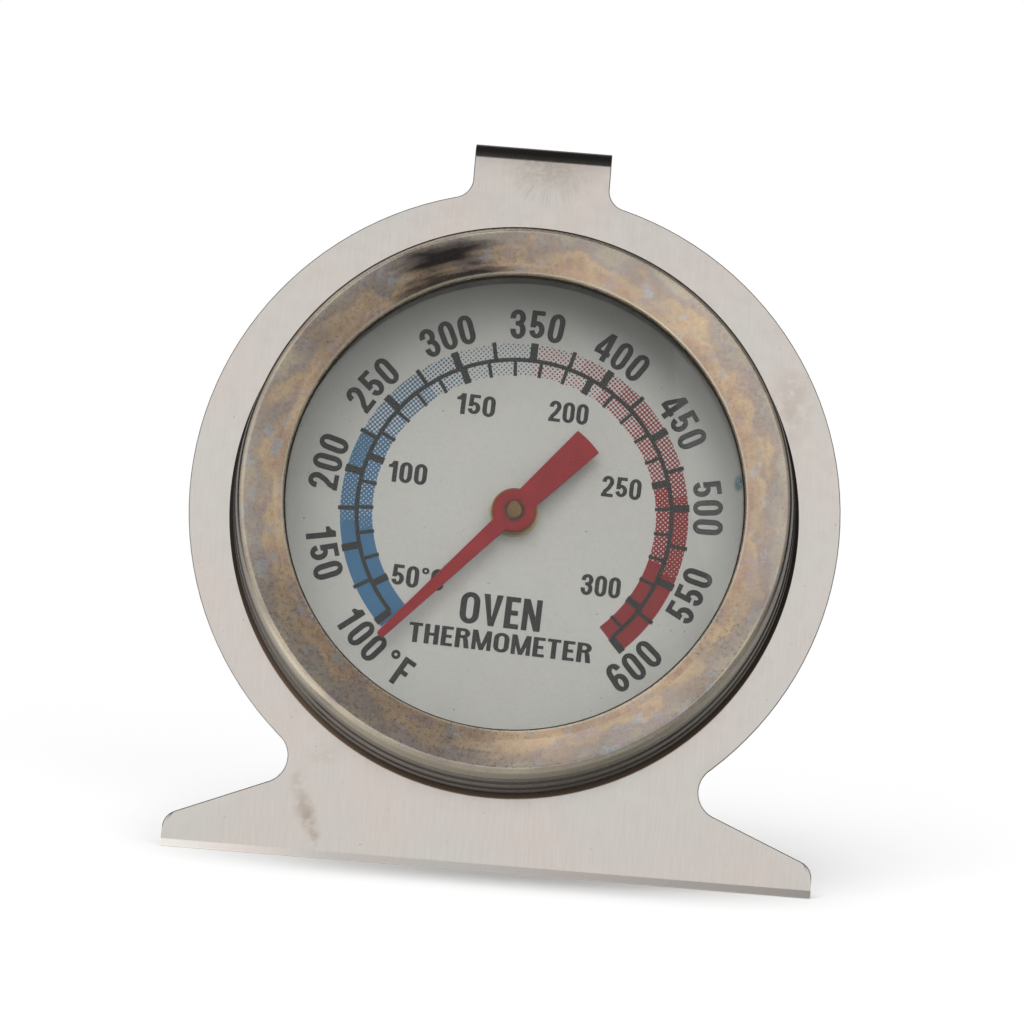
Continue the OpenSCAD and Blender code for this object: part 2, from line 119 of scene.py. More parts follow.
class Look:
    """A node material, built one node at a time."""

    def __init__(self, name, metallic=0.0, roughness=0.5):
        self.mat = bpy.data.materials.new(name)
        self.mat.use_nodes = True
        self.tree = self.mat.node_tree
        self.tree.nodes.clear()
        self.out = self.add("ShaderNodeOutputMaterial")
        self.bsdf = self.add("ShaderNodeBsdfPrincipled")
        self.tree.links.new(self.bsdf.outputs[0], self.out.inputs["Surface"])
        self.put("Metallic", metallic)
        self.put("Roughness", roughness)

    def add(self, kind, **settings):
        node = self.tree.nodes.new(kind)
        for key, value in settings.items():
            setattr(node, key, value)
        return node

    def feed(self, socket, value):
        """Links a socket, or sets its value when value is a plain number."""
        if isinstance(value, bpy.types.NodeSocket):
            self.tree.links.new(value, socket)
        else:
            socket.default_value = value

    def put(self, name, value):
        self.feed(self.bsdf.inputs[name], value)

    def math(self, op, a, b=0.0, c=0.0, clamp=False):
        node = self.add("ShaderNodeMath", operation=op, use_clamp=clamp)
        for socket, value in zip(node.inputs, (a, b, c)):
            self.feed(socket, value)
        return node.outputs[0]

    def vector(self, op, a, b=(0, 0, 0)):
        node = self.add("ShaderNodeVectorMath", operation=op)
        self.feed(node.inputs[0], a)
        self.feed(node.inputs[1], b)
        return node.outputs["Value" if op in ("DOT_PRODUCT", "LENGTH") else "Vector"]

    def join(self, x, y, z=0.0):
        node = self.add("ShaderNodeCombineXYZ")
        for socket, value in zip(node.inputs, (x, y, z)):
            self.feed(socket, value)
        return node.outputs[0]

    def split(self, vec):
        node = self.add("ShaderNodeSeparateXYZ")
        self.feed(node.inputs[0], vec)
        return node.outputs

    def point(self):
        """The shaded point in the dial's frame, in millimetres."""
        here = self.add("ShaderNodeTexCoord").outputs["Object"]
        rel = self.vector("SUBTRACT", here, tuple(CENTRE))
        return self.join(*(self.vector("DOT_PRODUCT", rel, tuple(axis / MM))
                           for axis in (RIGHT, UP, FORWARD)))

    def polar(self, vec, centre=(0.0, 0.0)):
        """Radius, and angle clockwise from the top in degrees."""
        x, y, _ = self.split(self.vector("SUBTRACT", vec, (*centre, 0.0)))
        radius = self.math("SQRT", self.math("ADD", self.math("MULTIPLY", x, x),
                                             self.math("MULTIPLY", y, y)))
        angle = self.math("DEGREES", self.math("ARCTAN2", x, y))
        return radius, angle

    def noise(self, vec, scale, detail=2.0, rough=0.5, shift=0.0):
        node = self.add("ShaderNodeTexNoise")
        self.feed(node.inputs["Vector"], self.vector("ADD", vec, (shift, -shift, shift / 2)))
        node.inputs["Scale"].default_value = scale
        node.inputs["Detail"].default_value = detail
        node.inputs["Roughness"].default_value = rough
        return node.outputs[0]

    def step(self, value, low, high, to_low=0.0, to_high=1.0):
        """Smooth step from to_low at low to to_high at high."""
        node = self.add("ShaderNodeMapRange", interpolation_type="SMOOTHSTEP")
        for socket, v in zip(node.inputs, (value, low, high, to_low, to_high)):
            self.feed(socket, v)
        return node.outputs[0]

    def ramp(self, value, stops, mode="LINEAR"):
        node = self.add("ShaderNodeValToRGB")
        node.color_ramp.interpolation = mode
        marks = node.color_ramp.elements
        while len(marks) < len(stops):
            marks.new(1.0)
        for mark, (at, colour) in zip(marks, stops):
            mark.position = at
            mark.color = colour if len(colour) == 4 else (*colour, 1.0)
        self.feed(node.inputs[0], value)
        return node.outputs[0]

    def mix(self, amount, a, b, blend="MIX"):
        node = self.add("ShaderNodeMix", data_type="RGBA", blend_type=blend)
        self.feed(node.inputs[0], amount)
        self.feed(node.inputs[6], a)
        self.feed(node.inputs[7], b)
        return node.outputs[2]

    def blend_shaders(self, amount, a, b):
        """Mix of two shader nodes, a at 0 and b at 1."""
        node = self.add("ShaderNodeMixShader")
        self.feed(node.inputs[0], amount)
        self.tree.links.new(a.outputs[0], node.inputs[1])
        self.tree.links.new(b.outputs[0], node.inputs[2])
        return node

    def bump(self, height, depth):
        """Bump of the given depth in millimetres."""
        node = self.add("ShaderNodeBump")
        node.inputs["Strength"].default_value = 1.0
        node.inputs["Distance"].default_value = depth * MM
        self.feed(node.inputs["Height"], height)
        self.put("Normal", node.outputs[0])

    def spot(self, vec, x, y, half_w, half_h, hard=0.3):
        """Soft elliptical patch: 1 inside, 0 outside."""
        rel = self.vector("SUBTRACT", vec, (x, y, 0.0))
        rel = self.vector("MULTIPLY", rel, (1 / half_w, 1 / half_h, 0.0))
        return self.step(self.vector("LENGTH", rel), hard, 1.0, 1.0, 0.0)

    def bright(self, fac, low, high):
        """A grey whose value runs from low to high with fac."""
        return self.ramp(fac, [(0.3, (low,) * 3), (0.7, (high,) * 3)])


# Stand: patches of stain as x, y, half width, half height, strength, colour
STAINS = [
    (-19.0, -28.0, 1.2, 1.9, 0.45, (0.45, 0.37, 0.30, 1)),
    (-18.3, -30.1, 1.2, 2.1, 0.60, (0.42, 0.34, 0.27, 1)),
    (-17.6, -31.5, 1.1, 2.0, 0.75, (0.38, 0.30, 0.23, 1)),
    (-16.9, -33.0, 1.0, 1.7, 0.60, (0.40, 0.32, 0.25, 1)),
    (-16.6, -25.2, 2.4, 1.6, 0.25, (0.46, 0.38, 0.30, 1)),
    (26.5, 13.0, 3.0, 6.0, 0.40, (0.44, 0.38, 0.31, 1)),
    (0.8, 35.0, 6.5, 2.6, 0.40, (0.52, 0.45, 0.37, 1)),
    (22.5, -24.0, 3.5, 3.0, 0.18, (0.50, 0.42, 0.38, 1)),
]
SHEET_PINK, SHEET_GREEN = (0.655, 0.588, 0.548), (0.628, 0.600, 0.560)
SPECK_BROWN, SPECK_SHARE = (0.30, 0.25, 0.21, 1), 0.45
# Fan of scuffs: centre, radii where it starts, is full, thins and ends,
# degrees to each side where it thins and ends, strength, colour
SCUFF_CENTRE = (0.9, 37.4)
SCUFF_START, SCUFF_FULL, SCUFF_THIN, SCUFF_END = 3.2, 4.8, 5.2, 6.4
SCUFF_SIDES = (25, 55)
SCUFF_SHARE, SCUFF_BROWN = 0.24, (0.38, 0.33, 0.28, 1)
# Haze on the strip: x, y, half width, half height; strength, colour
HAZE_PATCH = (0.7, 35.6, 6.2, 4.0)
HAZE_SHARE, HAZE_STRAW = 0.62, (0.42, 0.375, 0.31, 1)
# Painted dark reflection of the hook's bend, below the hook's top in mm: where it starts and is
# full, strength, colour
HOOK_BEND_REFLECTION = [(2.7, 1.5, 0.34, (0.36, 0.33, 0.30, 1)), (1.3, 0.9, 0.55, (0.10, 0.085, 0.08, 1))]
FRONT_FACE = (-1.6, -0.4)    # level where the hook's painted dark band starts and is full


def stand_steel():
    """Rolled sheet, satin, with faint pink and green clouds, stains and scuffs."""
    look = Look("stand_sheet_steel", metallic=1.0)
    p = look.point()
    base = look.ramp(look.noise(p, 0.09, 2, 0.5, 3), [(0.35, SHEET_PINK), (0.65, SHEET_GREEN)])
    grain = look.noise(look.vector("MULTIPLY", p, (6.0, 0.25, 6.0)), 1.0, 2, 0.6)
    base = look.mix(1.0, base, look.bright(grain, 0.975, 1.02), "MULTIPLY")
    specks = look.step(look.noise(p, 1.9, 3, 0.6, 7), 0.70, 0.76)
    base = look.mix(look.math("MULTIPLY", specks, SPECK_SHARE), base, SPECK_BROWN)
    rough_cloud = look.noise(p, 0.7, 4, 0.65, 11)
    for x, y, half_w, half_h, share, colour in STAINS:
        cloud = look.math("MULTIPLY", look.spot(p, x, y, half_w, half_h, 0.0),
                          look.step(rough_cloud, 0.32, 0.56))
        base = look.mix(look.math("MULTIPLY", cloud, share), base, colour)
    # Fan of short scuffs below the hook
    radius, angle = look.polar(p, SCUFF_CENTRE)
    fan = look.noise(look.join(look.math("MULTIPLY", angle, 0.50),
                               look.math("MULTIPLY", radius, 0.30)), 1.0, 2, 0.5)
    inside = look.math("MULTIPLY", look.step(radius, SCUFF_START, SCUFF_FULL),
                       look.step(radius, SCUFF_THIN, SCUFF_END, 1.0, 0.0))
    off = look.math("SUBTRACT", look.math("ABSOLUTE", angle), 180)
    side = look.step(look.math("ABSOLUTE", off), *SCUFF_SIDES, 1.0, 0.0)
    marks = look.math("MULTIPLY", look.math("MULTIPLY", inside, side),
                      look.step(fan, 0.46, 0.60))
    base = look.mix(look.math("MULTIPLY", marks, SCUFF_SHARE), base, SCUFF_BROWN)
    # Straw haze over the strip, where hands and racks rub
    haze = look.math("MULTIPLY", look.spot(p, *HAZE_PATCH, 0.0),
                     look.step(look.noise(p, 2.2, 4, 0.7, 19), 0.30, 0.60, 0.35, 1.0))
    base = look.mix(look.math("MULTIPLY", haze, HAZE_SHARE), base, HAZE_STRAW)
    # Painted dark reflection of the hook's bend on the front face, fading down the strip
    _, y, h = look.split(p)
    front = look.step(h, *FRONT_FACE)
    for low, high, share, colour in HOOK_BEND_REFLECTION:
        dark = look.step(y, hook_top - low, hook_top - high, 0.0, share)
        base = look.mix(look.math("MULTIPLY", front, dark), base, colour)
    look.put("Base Color", base)
    look.put("Roughness", look.step(rough_cloud, 0.2, 0.8, 0.16, 0.22))
    look.bump(look.noise(p, 0.5, 3, 0.5, 5), 0.003)
    return look.mat


# Bezel: how far the crown stops short of the rim
CROWN_EDGE = 1.8
# Heat tint across the crown, from 0 at the lip to 1 at its edge
CROWN_TINTS = [
    (0.08, rgb(192, 166, 144)), (0.30, rgb(205, 180, 153)), (0.44, rgb(206, 185, 156)),
    (0.62, rgb(184, 166, 151)), (0.82, rgb(178, 168, 160)), (1.0, rgb(190, 179, 162))]
# Ragged patches on the crown: cloud scale, seed, from, to, strength, colour
CROWN_PATCHES = [(0.50, 31, 0.52, 0.62, 0.55, rgb(172, 156, 158)),
                 (0.72, 17, 0.56, 0.66, 0.66, rgb(178, 183, 188))]
# Dark streaks, partly soot and partly a painted dark reflection: angle, reach in degrees, place
# across the crown, half width, strength
SOOT_AND_DARK_REFLECTION = [(-20, 13, 0.58, 0.42, 0.95), (-19, 20, 0.10, 0.24, 0.90)]
STREAK_SLANT, SOOT_AND_REFLECTION_BLACK = 0.010, rgb(36, 36, 37)
# Radii from the rim, or from the lip's inside, where each starts and is full: painted highlights
# on the crown's edge and on the lip, the crown, and painted shade on the upper edge
PAINTED_EDGE_HIGHLIGHT, PAINTED_LIP_HIGHLIGHT, ON_CROWN, PAINTED_SHADE_EDGE = (-1.9, -1.75), (0.16, 0.34), (-2.1, -1.9), (-1.66, -1.56)
CROWN_LEVEL = (10.35, 10.6)    # level above which all is crown
PAINTED_SHADE_EDGE_SIDES = (95, 125)        # degrees from the top where the painted shade on the edge thins and ends
ROUND_SCALE, RAGGED = 14.0, 1.8
# Skirt from the plate (0) to the bezel's top (1): dark below, olive under the crown, with a
# painted orange glint where it meets the plate and a painted dark line of shade in the groove at
# 0.75
SKIRT_TINTS_AND_PAINTED_LINES = [
    (0.0, rgb(130, 100, 72)), (0.03, rgb(112, 86, 62)), (0.06, rgb(62, 52, 43)),
    (0.30, rgb(66, 58, 49)), (0.48, rgb(70, 63, 54)), (0.735, rgb(86, 78, 66)),
    (0.75, rgb(60, 52, 42)), (0.775, rgb(138, 132, 112)), (0.93, rgb(150, 144, 122))]


def bezel_steel():
    """Thin stamped steel, heat tinted: gold inside, pink-grey outside, blue-grey islands."""
    look = Look("bezel_heat_tint")
    p = look.point()
    radius, angle = look.polar(p)
    x, y, h = look.split(p)
    # Coordinates that run round the ring, so clouds are longer round than across
    round_x, round_y = (look.math("MULTIPLY", look.math("DIVIDE", v, radius), ROUND_SCALE)
                        for v in (x, y))
    band = look.join(round_x, round_y, look.math("MULTIPLY", radius, 0.9))
    level = look.math("DIVIDE", look.math("SUBTRACT", radius, bezel.r0),
                      bezel.r1 - CROWN_EDGE - bezel.r0)
    ragged = look.math("SUBTRACT", look.noise(band, 0.50, 3, 0.5, 9), 0.5)
    base = look.ramp(look.math("MULTIPLY_ADD", ragged, RAGGED, level), CROWN_TINTS)
    wide = look.noise(p, 0.11, 2, 0.5, 2)
    wide = look.ramp(wide, [(0.35, (0.80, 0.80, 0.82)), (0.65, (1.12, 1.10, 1.06))])
    base = look.mix(1.0, base, wide, "MULTIPLY")
    for scale, seed, low, high, share, colour in CROWN_PATCHES:
        patch = look.step(look.noise(band, scale, 5, 0.66, seed), low, high)
        base = look.mix(look.math("MULTIPLY", patch, share), base, colour)
    fine = look.noise(p, 2.4, 5, 0.75, 5)
    base = look.mix(1.0, base, look.bright(fine, 0.80, 1.14), "MULTIPLY")
    pits = look.step(look.noise(p, 1.7, 4, 0.7, 23), 0.755, 0.80)
    base = look.mix(look.math("MULTIPLY", pits, 0.34), base, rgb(98, 88, 80))
    # Dark streaks over the upper left, one mid-crown and one along the lip: partly soot, partly a
    # painted dark reflection
    drawn = look.vector("MULTIPLY", band, (0.35, 0.35, 1.6))
    torn = look.math("SUBTRACT", look.noise(drawn, 0.9, 3, 0.5, 41), 0.5)
    for at, reach, middle, half, share in SOOT_AND_DARK_REFLECTION:
        along = look.math("SUBTRACT", angle, at)
        beside = look.math("SUBTRACT", look.math("MULTIPLY_ADD", along, STREAK_SLANT, level), middle)
        gap = look.math("MAXIMUM", look.math("DIVIDE", look.math("ABSOLUTE", along), reach),
                        look.math("DIVIDE", look.math("ABSOLUTE", beside), half))
        soot_and_reflection = look.step(look.math("MULTIPLY_ADD", torn, 1.3, gap), 0.24, 1.05, share, 0.0)
        base = look.mix(soot_and_reflection, base, SOOT_AND_REFLECTION_BLACK)
    # Painted highlights: light lines on the crown's rounded outer edge and on the rolled lip
    edge = look.step(radius, *(bezel.r1 + at for at in PAINTED_EDGE_HIGHLIGHT))
    base = look.mix(look.math("MULTIPLY", edge, 0.5), base, rgb(152, 144, 124))
    lip = look.step(radius, *(bezel.r0 + at for at in PAINTED_LIP_HIGHLIGHT), 1.0, 0.0)
    base = look.mix(look.math("MULTIPLY", lip, 0.6), base, rgb(214, 208, 184))
    skirt = look.ramp(look.math("DIVIDE", h, bezel.high), SKIRT_TINTS_AND_PAINTED_LINES)
    on_crown = look.math("MAXIMUM", look.step(h, *CROWN_LEVEL),
                         look.step(radius, *(bezel.r1 + at for at in ON_CROWN), 1.0, 0.0))
    base = look.mix(on_crown, skirt, base)
    # Painted shade on the crown's outer edge in the upper half, where it lies in shadow
    upper = look.step(look.math("ABSOLUTE", angle), *PAINTED_SHADE_EDGE_SIDES, 1.0, 0.0)
    edge_shade = look.math("MULTIPLY", upper, look.step(radius, *(bezel.r1 + at for at in PAINTED_SHADE_EDGE)))
    base = look.mix(look.math("MULTIPLY", edge_shade, 0.92), base, rgb(34, 29, 27))
    look.put("Base Color", base)
    look.put("Metallic", 0.82)
    look.put("Roughness", look.step(fine, 0.3, 0.7, 0.24, 0.38))
    look.bump(look.noise(p, 1.1, 4, 0.6, 13), 0.010)
    return look.mat


def plain_metal(name, colour, roughness, stain, grain=(1.0, 1.0, 1.0), depth=0.004):
    """Bare metal with cloudy tone, a stain colour and fine grain."""
    look = Look(name, metallic=1.0)
    p = look.point()
    cloud = look.noise(p, 0.45, 4, 0.6, 4)
    base = look.mix(look.step(cloud, 0.35, 0.75, 0.0, 0.6), colour, stain)
    fine = look.noise(look.vector("MULTIPLY", p, grain), 3.5, 3, 0.6, 8)
    base = look.mix(1.0, base, look.bright(fine, 0.88, 1.08), "MULTIPLY")
    look.put("Base Color", base)
    look.put("Roughness", look.step(fine, 0.3, 0.7, roughness - 0.06, roughness + 0.08))
    look.bump(fine, depth)
    return look.mat


def cushion_fibre():
    """Dark heat-proof fibre ring, slightly ragged."""
    look = Look("cushion_fibre", roughness=0.9)
    p = look.point()
    fibre = look.noise(look.vector("MULTIPLY", p, (1, 1, 5)), 3.0, 5, 0.7)
    look.put("Base Color", look.ramp(fibre, [(0.3, rgb(26, 20, 16)), (0.7, rgb(58, 46, 38))]))
    look.bump(fibre, 0.03)
    return look.mat


LENS_IOR = 1.32
LENS_TINT = [(0.3, (0.97, 0.98, 0.975)), (0.7, (0.985, 0.99, 0.985))]
LENS_SHADE = (0.93, 0.95, 0.94, 1)


def lens_glass():
    """Clear glass with faint haze; shadow rays pass so the dial is lit evenly."""
    look = Look("lens_glass")
    look.tree.nodes.remove(look.bsdf)
    p = look.point()
    haze = look.noise(p, 0.35, 4, 0.6)
    glass = look.add("ShaderNodeBsdfGlass")
    glass.inputs["IOR"].default_value = LENS_IOR
    look.feed(glass.inputs["Color"], look.ramp(haze, LENS_TINT))
    look.feed(glass.inputs["Roughness"], look.step(haze, 0.3, 0.8, 0.0, 0.03))
    clear = look.add("ShaderNodeBsdfTransparent")
    clear.inputs["Color"].default_value = LENS_SHADE
    path = look.add("ShaderNodeLightPath")
    mixed = look.blend_shaders(path.outputs["Is Shadow Ray"], glass, clear)
    look.tree.links.new(mixed.outputs[0], look.out.inputs["Surface"])
    return look.mat


DIAL_LIGHT, DIAL_WARM = (0.395, 0.380, 0.362), (0.385, 0.366, 0.345)
# Colour of the painted shade that the bezel casts on the dial's upper rim
DIAL_PAINTED_SHADE = (0.13, 0.125, 0.115, 1)
PAINTED_SHADE_RADII = (18.0, 22.4)     # where the painted shade starts and is full
PAINTED_SHADE_SIDES = (25, 80)         # degrees from the top where it thins and ends
TEAL_SMEAR = (21.8, 4.7, 0.6, 1.2)


def dial_tone(look, p):
    """Colour of the bare dial: silver-grey with a soft cloud, painted shade under the upper rim
    and a few specks.
    """
    base = look.ramp(look.noise(p, 0.12, 2, 0.5, 6), [(0.3, DIAL_LIGHT), (0.7, DIAL_WARM)])
    base = look.mix(1.0, base, look.bright(look.noise(p, 5.0, 2, 0.6, 3), 0.94, 1.05), "MULTIPLY")
    # Painted shade: the dial darkened towards the upper rim, where the bezel shades it
    radius, angle = look.polar(p)
    top = look.step(look.math("ABSOLUTE", angle), *PAINTED_SHADE_SIDES, 0.34, 0.0)
    painted_shade = look.math("MULTIPLY", look.step(radius, *PAINTED_SHADE_RADII), top)
    base = look.mix(painted_shade, base, DIAL_PAINTED_SHADE)
    specks = look.step(look.noise(p, 2.2, 2, 0.5, 19), 0.735, 0.765)
    return look.mix(look.math("MULTIPLY", specks, 0.7), base, rgb(70, 66, 60))


def dial_metal():
    """Printed aluminium dial under its clear coat."""
    look = Look("dial_silver", roughness=0.5)
    look.put("Specular IOR Level", 0.2)
    p = look.point()
    base = dial_tone(look, p)
    patchy = look.step(look.noise(p, 1.6, 4, 0.7), 0.3, 0.48)
    smear = look.math("MULTIPLY", look.spot(p, *TEAL_SMEAR), patchy)
    look.put("Base Color", look.mix(smear, base, rgb(70, 110, 118)))
    look.bump(look.noise(p, 6.0, 2, 0.6), 0.002)
    return look.mat


# Scale: 100 to 600 degrees F over 270.5 degrees, symmetric about 350
PRINT_TURN = 2.3
PRINT_DROP = 0.15
PER_F = 270.5 / 500
MID_F = 350
BAND_OUT, BAND_MID, BAND_IN = 17.15, 15.5, 13.96
BAND_START, BAND_END = -137.6, 136.3
DOT_PITCH, DOT_SOFT = 0.34, 0.06    # mm between dots' rows; softness of their edges
# Temperatures in F between which each band's ink shades from one tone to the other
BLUE_INK = [(200, rgb(47, 89, 121)), (340, rgb(44, 80, 104))]
RED_INK = [(380, rgb(116, 30, 38)), (480, rgb(112, 20, 23))]
RAMP_F = 700    # a colour ramp's end stands for this temperature
# Share of ink from each temperature in F upwards, outer and inner band
TINTS_OUT = [(0, 1.0), (166, 0.80), (200, 0.84), (225, 0.54), (275, 0.42), (300, 0.30),
             (350, 0.34), (381, 0.46), (412, 0.56), (475, 0.64), (490, 0.82), (543, 1.0)]
TINTS_IN = [(0, 1.0), (160, 0.84), (168, 0.74), (212, 0.70), (230, 0.54), (275, 0.42),
            (300, 0.30), (350, 0.34), (400, 0.50), (440, 0.56), (482, 0.78), (500, 0.72),
            (536, 1.0)]


def band_ink():
    """Blue and red scale bands, solid or as dots on the bare dial."""
    look = Look("scale_tints", roughness=0.5)
    look.put("Specular IOR Level", 0.2)
    p = look.point()
    radius, angle = look.polar(p, (0.0, -PRINT_DROP))
    off_mid = look.math("DIVIDE", look.math("SUBTRACT", angle, PRINT_TURN), PER_F)
    temp = look.math("ADD", off_mid, MID_F)
    share = look.math("DIVIDE", temp, RAMP_F)
    outer, inner = (look.ramp(share, [(t / RAMP_F, (s,) * 3) for t, s in tints], "CONSTANT")
                    for tints in (TINTS_OUT, TINTS_IN))
    ink_share = look.mix(look.math("GREATER_THAN", radius, BAND_MID), inner, outer)
    # Halftone: dots on a lattice turned by 45 degrees
    scaled = look.vector("SCALE", p)
    scaled.node.inputs["Scale"].default_value = 2 * math.pi / DOT_PITCH / math.sqrt(2)
    x, y, _ = look.split(scaled)
    wave = look.math("ADD", look.math("COSINE", look.math("ADD", x, y)),
                     look.math("COSINE", look.math("SUBTRACT", x, y)))
    dots = look.math("MULTIPLY_ADD", wave, 0.25, 0.5)
    # Stretched by the softness, so that a share of 1 is solid
    margin = look.math("MULTIPLY_ADD", ink_share, 1 + 2 * DOT_SOFT, dots)
    margin = look.math("SUBTRACT", margin, 1 + DOT_SOFT)
    covered = look.step(margin, -DOT_SOFT, DOT_SOFT)
    blue, red = (look.ramp(share, [(t / RAMP_F, colour) for t, colour in tones])
                 for tones in (BLUE_INK, RED_INK))
    ink = look.mix(look.math("GREATER_THAN", temp, MID_F), blue, red)
    ink = look.mix(1.0, ink, look.bright(look.noise(p, 2.0, 4, 0.7), 0.9, 1.08), "MULTIPLY")
    look.put("Base Color", look.mix(covered, dial_tone(look, p), ink))
    return look.mat


def black_ink():
    """Screen-printed black, a little uneven."""
    look = Look("print_black", roughness=0.55)
    look.put("Specular IOR Level", 0.2)
    p = look.point()
    tone = look.noise(p, 1.8, 4, 0.7)
    look.put("Base Color", look.ramp(tone, [(0.3, rgb(24, 24, 23)), (0.7, rgb(33, 33, 31))]))
    return look.mat


def pointer_red():
    """Red paint, slightly uneven, with dust specks and a dark ring at the pin."""
    look = Look("pointer_red_paint", roughness=0.42)
    look.put("Specular IOR Level", 0.12)
    p = look.point()
    radius, _ = look.polar(p)
    tone = look.noise(p, 0.5, 3, 0.6)
    base = look.ramp(tone, [(0.3, rgb(112, 14, 20)), (0.7, rgb(127, 22, 26))])
    specks = look.step(look.noise(p, 2.8, 2, 0.5, 12), 0.71, 0.75)
    base = look.mix(look.math("MULTIPLY", specks, 0.6), base, rgb(70, 18, 20))
    ring = look.step(radius, 1.0, 1.25, 1.0, 0.0)
    base = look.mix(look.math("MULTIPLY", ring, 0.75), base, rgb(60, 28, 24))
    look.put("Base Color", base)
    look.put("Roughness", look.step(tone, 0.3, 0.7, 0.38, 0.5))
    look.bump(look.noise(p, 2.0, 2, 0.5), 0.003)
    return look.mat


# ------------------------------------------------------------------- pieces
def new_piece(name, verts, faces, material, body, sharp=35):
    """A mesh given in the dial's frame, riding on a body."""
    mesh = bpy.data.meshes.new(name)
    mesh.from_pydata([place(*v) for v in verts], [], faces)
    return finish_piece(name, mesh, material, body, sharp)


def finish_piece(name, mesh, material, body, sharp):
    mesh.materials.clear()
    mesh.materials.append(material)
    mesh.validate()
    obj = bpy.data.objects.new(name, mesh)
    bpy.context.scene.collection.objects.link(obj)
    for poly in mesh.polygons:
        poly.use_smooth = True
    mesh.set_sharp_from_angle(angle=math.radians(sharp))
    if body:
        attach(obj, body)
    return obj


FLAT = 0.3                       # degrees: facets that meet flatter than this are joined
SHARP = 25                       # degrees: edges that turn more than this are rounded
MOVED, INSIDE = 0.002, -0.001    # mm: how far a corner moved, how deep it may lie


def refined(node, name, round_r, material, edge_material=None, keep=None):
    """Stands for a CAD node: the same faces with each sharp edge rounded.

    Edges with a corner for which keep(corner in mm) is true stay sharp.
    """
    bm = bmesh.new()
    bm.from_mesh(frame["nodes"][node].data)
    bmesh.ops.scale(bm, vec=(1 / MM,) * 3, verts=bm.verts)
    bmesh.ops.remove_doubles(bm, verts=bm.verts, dist=1e-4)
    bmesh.ops.dissolve_limit(bm, angle_limit=math.radians(FLAT), verts=bm.verts, edges=bm.edges)
    sharp = [e for e in bm.edges
             if e.is_manifold and e.calc_face_angle() > math.radians(SHARP)
             and not (keep and any(keep(v.co) for v in e.verts))]
    before = BVHTree.FromBMesh(bm)
    bmesh.ops.bevel(bm, geom=sharp, offset=round_r, offset_type="OFFSET", segments=2,
                    profile=0.5, affect="EDGES", clamp_overlap=False,
                    material=1 if edge_material else -1)
    # A bevel can push a corner outwards where an arc meets a straight edge: put it back
    for vert in bm.verts:
        near, normal, _, gap = before.find_nearest(vert.co)
        if gap > MOVED and (vert.co - near).dot(normal) > INSIDE:
            vert.co = near
    bmesh.ops.triangulate(bm, faces=[f for f in bm.faces if len(f.verts) > 4])
    # That leaves the faces in no fixed order: sorted, the mesh is the same each run
    bm.verts.index_update()
    count = len(bm.verts)

    def number(face):
        a, b, c = sorted(vert.index for vert in face.verts)[:3]
        return (a * count + b) * count + c
    bm.faces.sort(key=number)
    bmesh.ops.scale(bm, vec=(MM,) * 3, verts=bm.verts)
    mesh = bpy.data.meshes.new(name)
    bm.to_mesh(mesh)
    bm.free()
    body = frame["nodes"][node]["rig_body"]
    indices = [poly.material_index for poly in mesh.polygons]
    obj = finish_piece(name, mesh, material, body, 40)
    if edge_material:
        mesh.materials.append(edge_material)
        mesh.polygons.foreach_set("material_index", indices)
    even = obj.modifiers.new("even_normals", "WEIGHTED_NORMAL")
    even.keep_sharp = True
    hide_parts(node)
    return obj


def rounded(corners, arc_points=6):
    """Closed outline from (x, y, radius) corners, each rounded by an arc."""
    points = []
    count = len(corners)
    for i, (x, y, radius) in enumerate(corners):
        here = Vector((x, y))
        before = (Vector(corners[i - 1][:2]) - here).normalized()
        after = (Vector(corners[(i + 1) % count][:2]) - here).normalized()
        half = before.angle(after) / 2
        if radius <= 0:
            points.append(tuple(here))
            continue
        middle = here + (before + after).normalized() * (radius / math.sin(half))
        start = here + before * (radius / math.tan(half)) - middle
        end = here + after * (radius / math.tan(half)) - middle
        turn = start.angle_signed(end)
        for k in range(arc_points + 1):
            t = -turn * k / arc_points
            points.append((middle.x + start.x * math.cos(t) - start.y * math.sin(t),
                           middle.y + start.x * math.sin(t) + start.y * math.cos(t)))
    return points


def lathe(name, outline, material, segments=360):
    """A ring turned about the dial's axis from a closed (radius, level) outline."""
    verts, faces = [], []
    n = len(outline)
    for i in range(segments):
        a = 2 * math.pi * i / segments
        verts += [(r * math.sin(a), r * math.cos(a), h) for r, h in outline]
        j = (i + 1) % segments
        faces += [(i * n + k, i * n + (k + 1) % n, j * n + (k + 1) % n, j * n + k)
                  for k in range(n)]
    obj = new_piece(name, verts, faces, material, FIXED, 40)
    bm = bmesh.new()
    bm.from_mesh(obj.data)
    bmesh.ops.recalc_face_normals(bm, faces=bm.faces)
    bm.to_mesh(obj.data)
    bm.free()
    return obj


